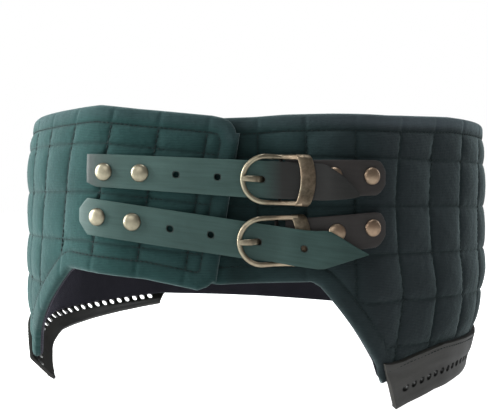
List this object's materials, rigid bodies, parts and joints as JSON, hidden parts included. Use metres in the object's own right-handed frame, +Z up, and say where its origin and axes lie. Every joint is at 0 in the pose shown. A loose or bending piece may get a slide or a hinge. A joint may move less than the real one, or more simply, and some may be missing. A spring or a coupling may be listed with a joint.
{
  "type": "quilted hip belt of a gambeson",
  "caption": "Padded, quilted hip belt of gambeson cloth that wraps over in front, with buckled leather straps and a punched leather lacing strip on each hip flap.",
  "frame": {"origin": "middle of the ring of the waist, at waist height, where the wearer's body holds the belt", "axes": "+Z up, -Y the front where the belt fastens, +X to the right as seen from the front"},
  "size_m": [0.3841, 0.2923, 0.2187],
  "materials": {
    "green_cloth": "matt woven cotton, dark bottle green, quilted",
    "lining_cloth": "matt woven cotton, near black with a purple cast",
    "strip_leather": "dark brown leather, semi matt",
    "strap_leather": "dark green dyed leather, waxed",
    "chape_leather": "dark brown leather, semi matt",
    "antique_brass": "antiqued brass, rubbed bright on the edges"
  },
  "bodies": {
    "root": {"quilted_front_left": "green_cloth", "quilted_hip_left": "green_cloth", "quilted_side_left": "green_cloth", "quilted_back_left": "green_cloth", "quilted_back_right": "green_cloth", "quilted_side_right": "green_cloth", "quilted_hip_right": "green_cloth", "quilted_front_right": "green_cloth", "lining": "lining_cloth", "lacing_strip_left": "strip_leather", "lacing_strip_right": "strip_leather", "strap_upper": "strap_leather", "strap_lower": "strap_leather", "chape_upper": "chape_leather", "chape_lower": "chape_leather", "buckle_frame_upper": "antique_brass", "buckle_frame_lower": "antique_brass", "buckle_prong_upper": "antique_brass", "buckle_prong_lower": "antique_brass", "rivet_upper_left_1": "antique_brass", "rivet_upper_left_2": "antique_brass", "rivet_upper_right_1": "antique_brass", "rivet_upper_right_2": "antique_brass", "rivet_lower_left_1": "antique_brass", "rivet_lower_left_2": "antique_brass", "rivet_lower_right_1": "antique_brass", "rivet_lower_right_2": "antique_brass"}
  },
  "joints": []
}
